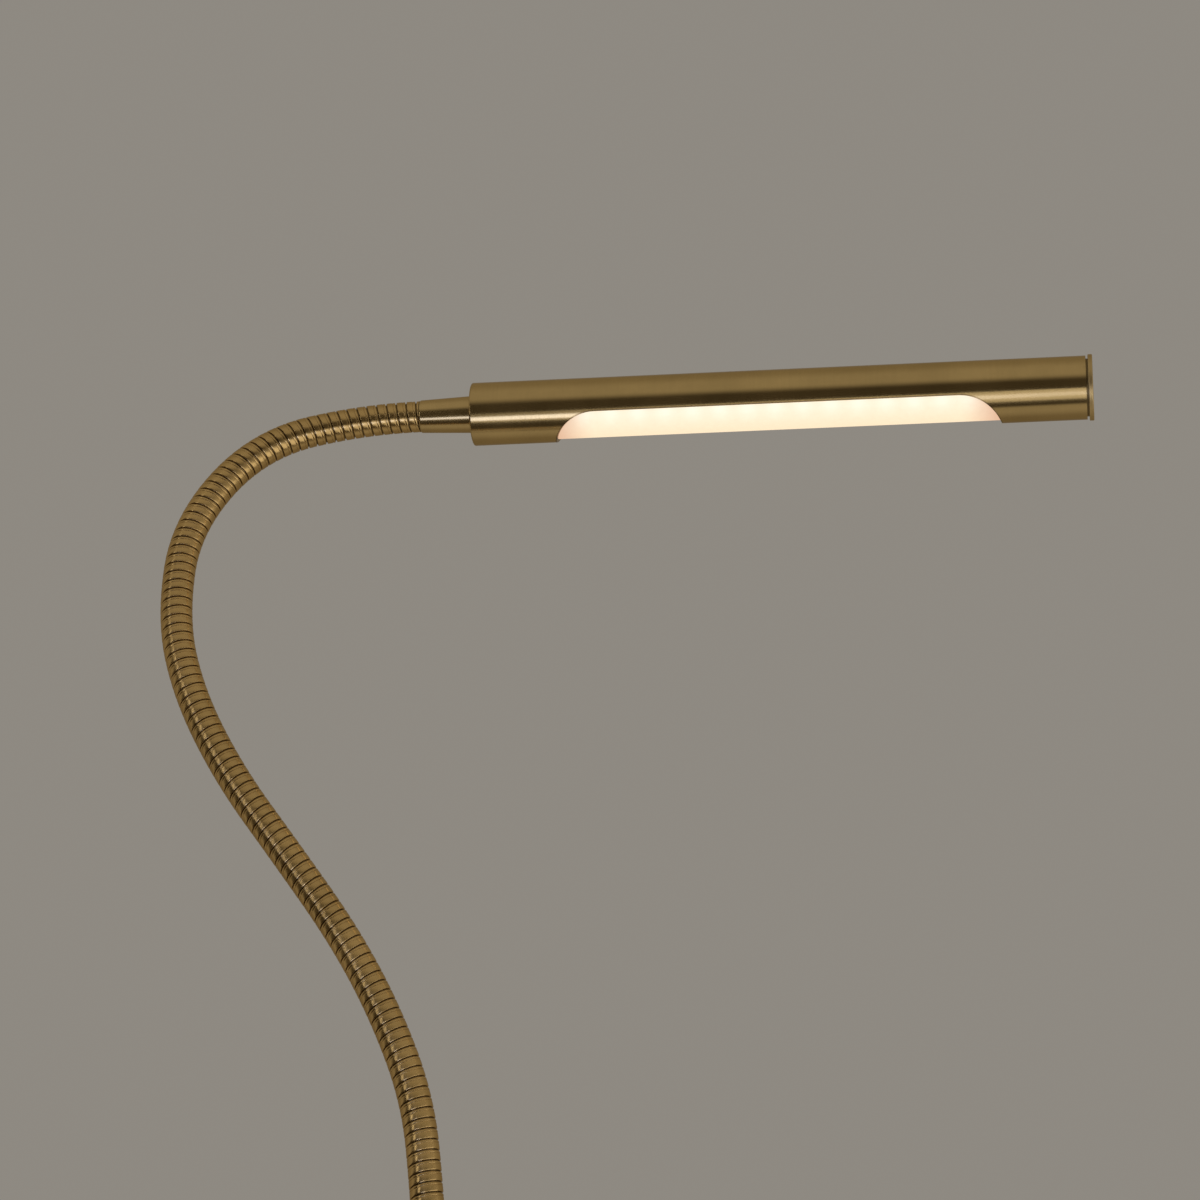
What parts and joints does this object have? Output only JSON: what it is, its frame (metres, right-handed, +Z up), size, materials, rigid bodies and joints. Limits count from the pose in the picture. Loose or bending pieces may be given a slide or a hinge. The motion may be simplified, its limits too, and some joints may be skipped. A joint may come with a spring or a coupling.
{
  "type": "clamp lamp",
  "caption": "Gooseneck clamp lamp: straight tubular brass head with an opal light strip underneath, flexible ribbed neck, push switch and a screw clamp for a table edge.",
  "frame": {"origin": "middle of the clamp's upper seat face, which rests on the table top", "axes": "+Z up, away from the table; +X the way the clamp's jaws open; the switch faces -Y and the cord gland +Y"},
  "size_m": [0.3625, 0.198, 0.5623],
  "materials": {
    "brass": "satin brushed, aged brass plating",
    "steel": "zinc-plated, lightly worn",
    "opal": "opal acrylic, lit from behind",
    "led": "phosphor face",
    "aluminium": "mill-finish extrusion",
    "white_board": "white solder mask",
    "green_board": "green solder mask",
    "rubber": "matt moulded rubber",
    "black_plastic": "moulded, fine grain",
    "button": "moulded, satin",
    "terminal": "moulded",
    "lead_sheath": "flexible sheath"
  },
  "bodies": {
    "base": {"clamp_frame": "brass", "seat_pad": "rubber", "thread_bush": "steel", "neck_collar": "brass", "collar_locknut": "steel", "driver_housing": "brass", "housing_screws": "steel", "board_standoffs": "steel", "driver_board": "green_board", "driver_components": "black_plastic", "terminal_block": "terminal", "switch_body": "black_plastic", "button_bezel": "brass", "cord_gland": "black_plastic", "gland_nut": "black_plastic", "neck_stub_base": "brass", "neck_lead": "lead_sheath"},
    "pad": {"pressure_pad": "brass", "pressure_pad_rubber": "rubber"},
    "spindle": {"clamp_spindle": "steel", "spindle_clip": "steel", "clamp_knob": "brass", "knob_pin": "steel"},
    "button": {"switch_button": "button", "switch_plunger": "black_plastic"},
    "neck_01": {"neck_link_01": "brass"},
    "neck_02": {"neck_link_02": "brass"},
    "neck_03": {"neck_link_03": "brass"},
    "neck_04": {"neck_link_04": "brass"},
    "neck_05": {"neck_link_05": "brass"},
    "neck_06": {"neck_link_06": "brass"},
    "neck_07": {"neck_link_07": "brass"},
    "neck_08": {"neck_link_08": "brass"},
    "neck_09": {"neck_link_09": "brass"},
    "neck_10": {"neck_link_10": "brass"},
    "neck_11": {"neck_link_11": "brass"},
    "head": {"neck_stub_head": "brass", "head_ferrule": "brass", "head_locknut": "steel", "head_rear_plug": "brass", "head_tube": "brass", "head_end_cap": "brass", "led_carrier": "aluminium", "led_board": "white_board", "led_chips": "led", "diffuser": "opal", "head_wires": "lead_sheath"}
  },
  "joints": [
    {"name": "neck_lower_bend", "type": "hinge", "parent": "base", "child": "neck_01", "pos_m": [-0.00016, 0.00087, 0.09074], "axis": [0.0016, 0.9959, -0.0908], "range_deg": [-18, 18], "deforming": ["neck_lead"]},
    {"name": "neck_lower_sway", "type": "hinge", "parent": "neck_01", "child": "neck_02", "pos_m": [-0.0026, 0.01368, 0.12767], "axis": [-0.9967, 0, -0.0807], "range_deg": [-18, 18], "deforming": ["neck_lead"]},
    {"name": "neck_lower_bend_2", "type": "hinge", "parent": "neck_02", "child": "neck_03", "pos_m": [-0.00725, 0.02985, 0.16309], "axis": [0.0793, 0.9072, -0.4131], "range_deg": [-18, 18], "deforming": ["neck_lead"]},
    {"name": "neck_lower_sway_2", "type": "hinge", "parent": "neck_03", "child": "neck_04", "pos_m": [-0.02035, 0.04588, 0.19636], "axis": [-0.9047, 0, -0.426], "range_deg": [-18, 18], "deforming": ["neck_lead"]},
    {"name": "neck_middle_bend", "type": "hinge", "parent": "neck_04", "child": "neck_05", "pos_m": [-0.03907, 0.0607, 0.22746], "axis": [-0.201, -0.9326, 0.2998], "range_deg": [-22, 22], "deforming": ["neck_lead"]},
    {"name": "neck_middle_sway", "type": "hinge", "parent": "neck_05", "child": "neck_06", "pos_m": [-0.06134, 0.07416, 0.25682], "axis": [0.7915, 0, 0.6111], "range_deg": [-20, 20], "deforming": ["neck_lead"]},
    {"name": "neck_middle_bend_2", "type": "hinge", "parent": "neck_06", "child": "neck_07", "pos_m": [-0.08291, 0.08893, 0.28604], "axis": [-0.2195, -0.9181, 0.3299], "range_deg": [-22, 22], "deforming": ["neck_lead"]},
    {"name": "neck_middle_sway_2", "type": "hinge", "parent": "neck_07", "child": "neck_08", "pos_m": [-0.09885, 0.10585, 0.31756], "axis": [0.9306, 0, 0.3659], "range_deg": [-20, 20], "deforming": ["neck_lead"]},
    {"name": "neck_upper_bend", "type": "hinge", "parent": "neck_08", "child": "neck_09", "pos_m": [-0.10422, 0.12513, 0.35112], "axis": [-0.0038, -0.8559, 0.5172], "range_deg": [-18, 30], "deforming": ["neck_lead"]},
    {"name": "neck_upper_sway", "type": "hinge", "parent": "neck_09", "child": "neck_10", "pos_m": [-0.09584, 0.14541, 0.38329], "axis": [-0.895, 0, 0.446], "range_deg": [-25, 25], "deforming": ["neck_lead"]},
    {"name": "neck_upper_bend_2", "type": "hinge", "parent": "neck_10", "child": "neck_11", "pos_m": [-0.07058, 0.16184, 0.40797], "axis": [0.2962, -0.9354, 0.1932], "range_deg": [-18, 30], "deforming": ["neck_lead"]},
    {"name": "neck_upper_sway_2", "type": "hinge", "parent": "neck_11", "child": "head", "pos_m": [-0.03365, 0.16979, 0.41821], "axis": [-0.2004, 0, 0.9797], "range_deg": [-25, 25], "deforming": ["neck_lead"]},
    {"name": "pad_travel", "type": "slide", "parent": "base", "child": "pad", "axis": [0, 0, 1], "range_m": [-0.027, 0.022]},
    {"name": "spindle_turn", "type": "hinge", "parent": "pad", "child": "spindle", "pos_m": [0, 0, -0.033], "axis": [0, 0, 1], "range_deg": [-4865, 3965]},
    {"name": "switch_press", "type": "slide", "parent": "base", "child": "button", "axis": [0, 1, 0], "range_m": [0, 0.0012], "stiffness_N_per_m": 900, "springref_m": -0.0008}
  ],
  "couplings": [
    {"joint": "neck_lower_bend_2", "follows": "neck_lower_bend", "ratio": 1},
    {"joint": "neck_lower_sway_2", "follows": "neck_lower_sway", "ratio": 1},
    {"joint": "neck_middle_bend_2", "follows": "neck_middle_bend", "ratio": 1},
    {"joint": "neck_middle_sway_2", "follows": "neck_middle_sway", "ratio": 1},
    {"joint": "neck_upper_bend_2", "follows": "neck_upper_bend", "ratio": 1},
    {"joint": "neck_upper_sway_2", "follows": "neck_upper_sway", "ratio": 1},
    {"joint": "spindle_turn", "follows": "pad_travel", "rad_per_m": 3141.6}
  ]
}
